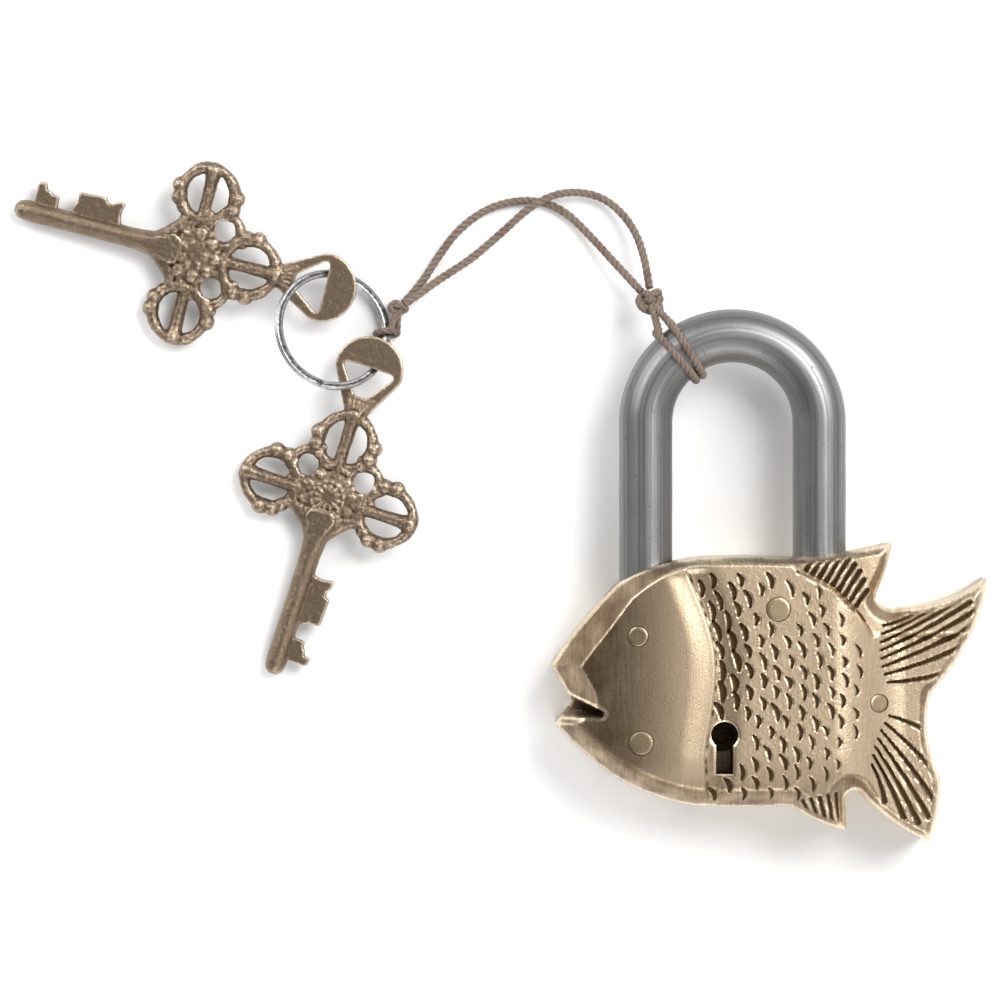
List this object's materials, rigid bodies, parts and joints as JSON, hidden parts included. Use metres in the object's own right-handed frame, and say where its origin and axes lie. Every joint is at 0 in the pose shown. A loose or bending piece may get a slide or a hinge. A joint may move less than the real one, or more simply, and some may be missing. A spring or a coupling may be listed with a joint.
{
  "type": "fish padlock",
  "caption": "Cast brass padlock shaped as a fish, with a round steel shackle, ornate cast keys on a split ring and a waxed cord tie.",
  "frame": {"origin": "middle of the fish's flat back, on the surface that it lies on", "axes": "+Z out of the face with the keyhole, +Y along the shackle's legs out of the body, -X towards the mouth"},
  "size_m": [0.2188, 0.1534, 0.028],
  "materials": {
    "cast_brass": "brushed, with dark patina in the scales",
    "rivet_brass": "filed flush",
    "inner_brass": "as cast",
    "shackle_steel": "brushed gunmetal",
    "inner_steel": "plain",
    "spring_steel": "blued",
    "key_bronze": "rough sand cast, antiqued",
    "ring_steel": "nickel plated",
    "waxed_cord": "waxed cotton"
  },
  "bodies": {
    "lock_case": {"front_casting": "cast_brass", "back_plate": "cast_brass", "brow_rivet": "rivet_brass", "cheek_rivet": "rivet_brass", "back_rivet": "rivet_brass", "tail_rivet": "rivet_brass", "guide_pin_upper": "inner_steel", "guide_pin_lower": "inner_steel", "detent_spring": "spring_steel", "spring_post": "inner_steel", "ward_plate": "inner_brass", "ward_post_left": "inner_steel", "ward_post_right": "inner_steel", "key_bush": "inner_brass", "heel_stop_pin": "inner_steel"},
    "bolt": {"bolt": "inner_brass"},
    "shackle": {"shackle": "shackle_steel", "cord_strand_a": "waxed_cord", "cord_strand_b": "waxed_cord", "shackle_knot": "waxed_cord", "ring_knot": "waxed_cord", "shackle_wrap_a": "waxed_cord", "shackle_wrap_b": "waxed_cord", "ring_loop": "waxed_cord"},
    "split_ring": {"split_ring": "ring_steel"},
    "key_a": {"key_a": "key_bronze"},
    "key_b": {"key_b": "key_bronze"}
  },
  "joints": [
    {"name": "shackle_lift", "type": "slide", "parent": "lock_case", "child": "shackle", "axis": [0, 1, 0], "range_m": [0, 0.016]},
    {"name": "bolt_throw", "type": "slide", "parent": "lock_case", "child": "bolt", "axis": [-1, 0, 0], "range_m": [0, 0.004], "deforming": ["detent_spring"]},
    {"name": "ring_turn", "type": "hinge", "parent": "shackle", "child": "split_ring", "pos_m": [-0.0981, 0.0812, 0.0075], "axis": [0.3845, 0.2105, 0.8988], "continuous": true},
    {"name": "key_a_round_ring", "type": "hinge", "parent": "shackle", "child": "key_a", "pos_m": [-0.0981, 0.0812, 0.0075], "axis": [0.3845, 0.2105, 0.8988], "range_deg": [0, 15]},
    {"name": "key_b_round_ring", "type": "hinge", "parent": "shackle", "child": "key_b", "pos_m": [-0.0981, 0.0812, 0.0075], "axis": [0.3845, 0.2105, 0.8988], "range_deg": [-15, 0]}
  ]
}
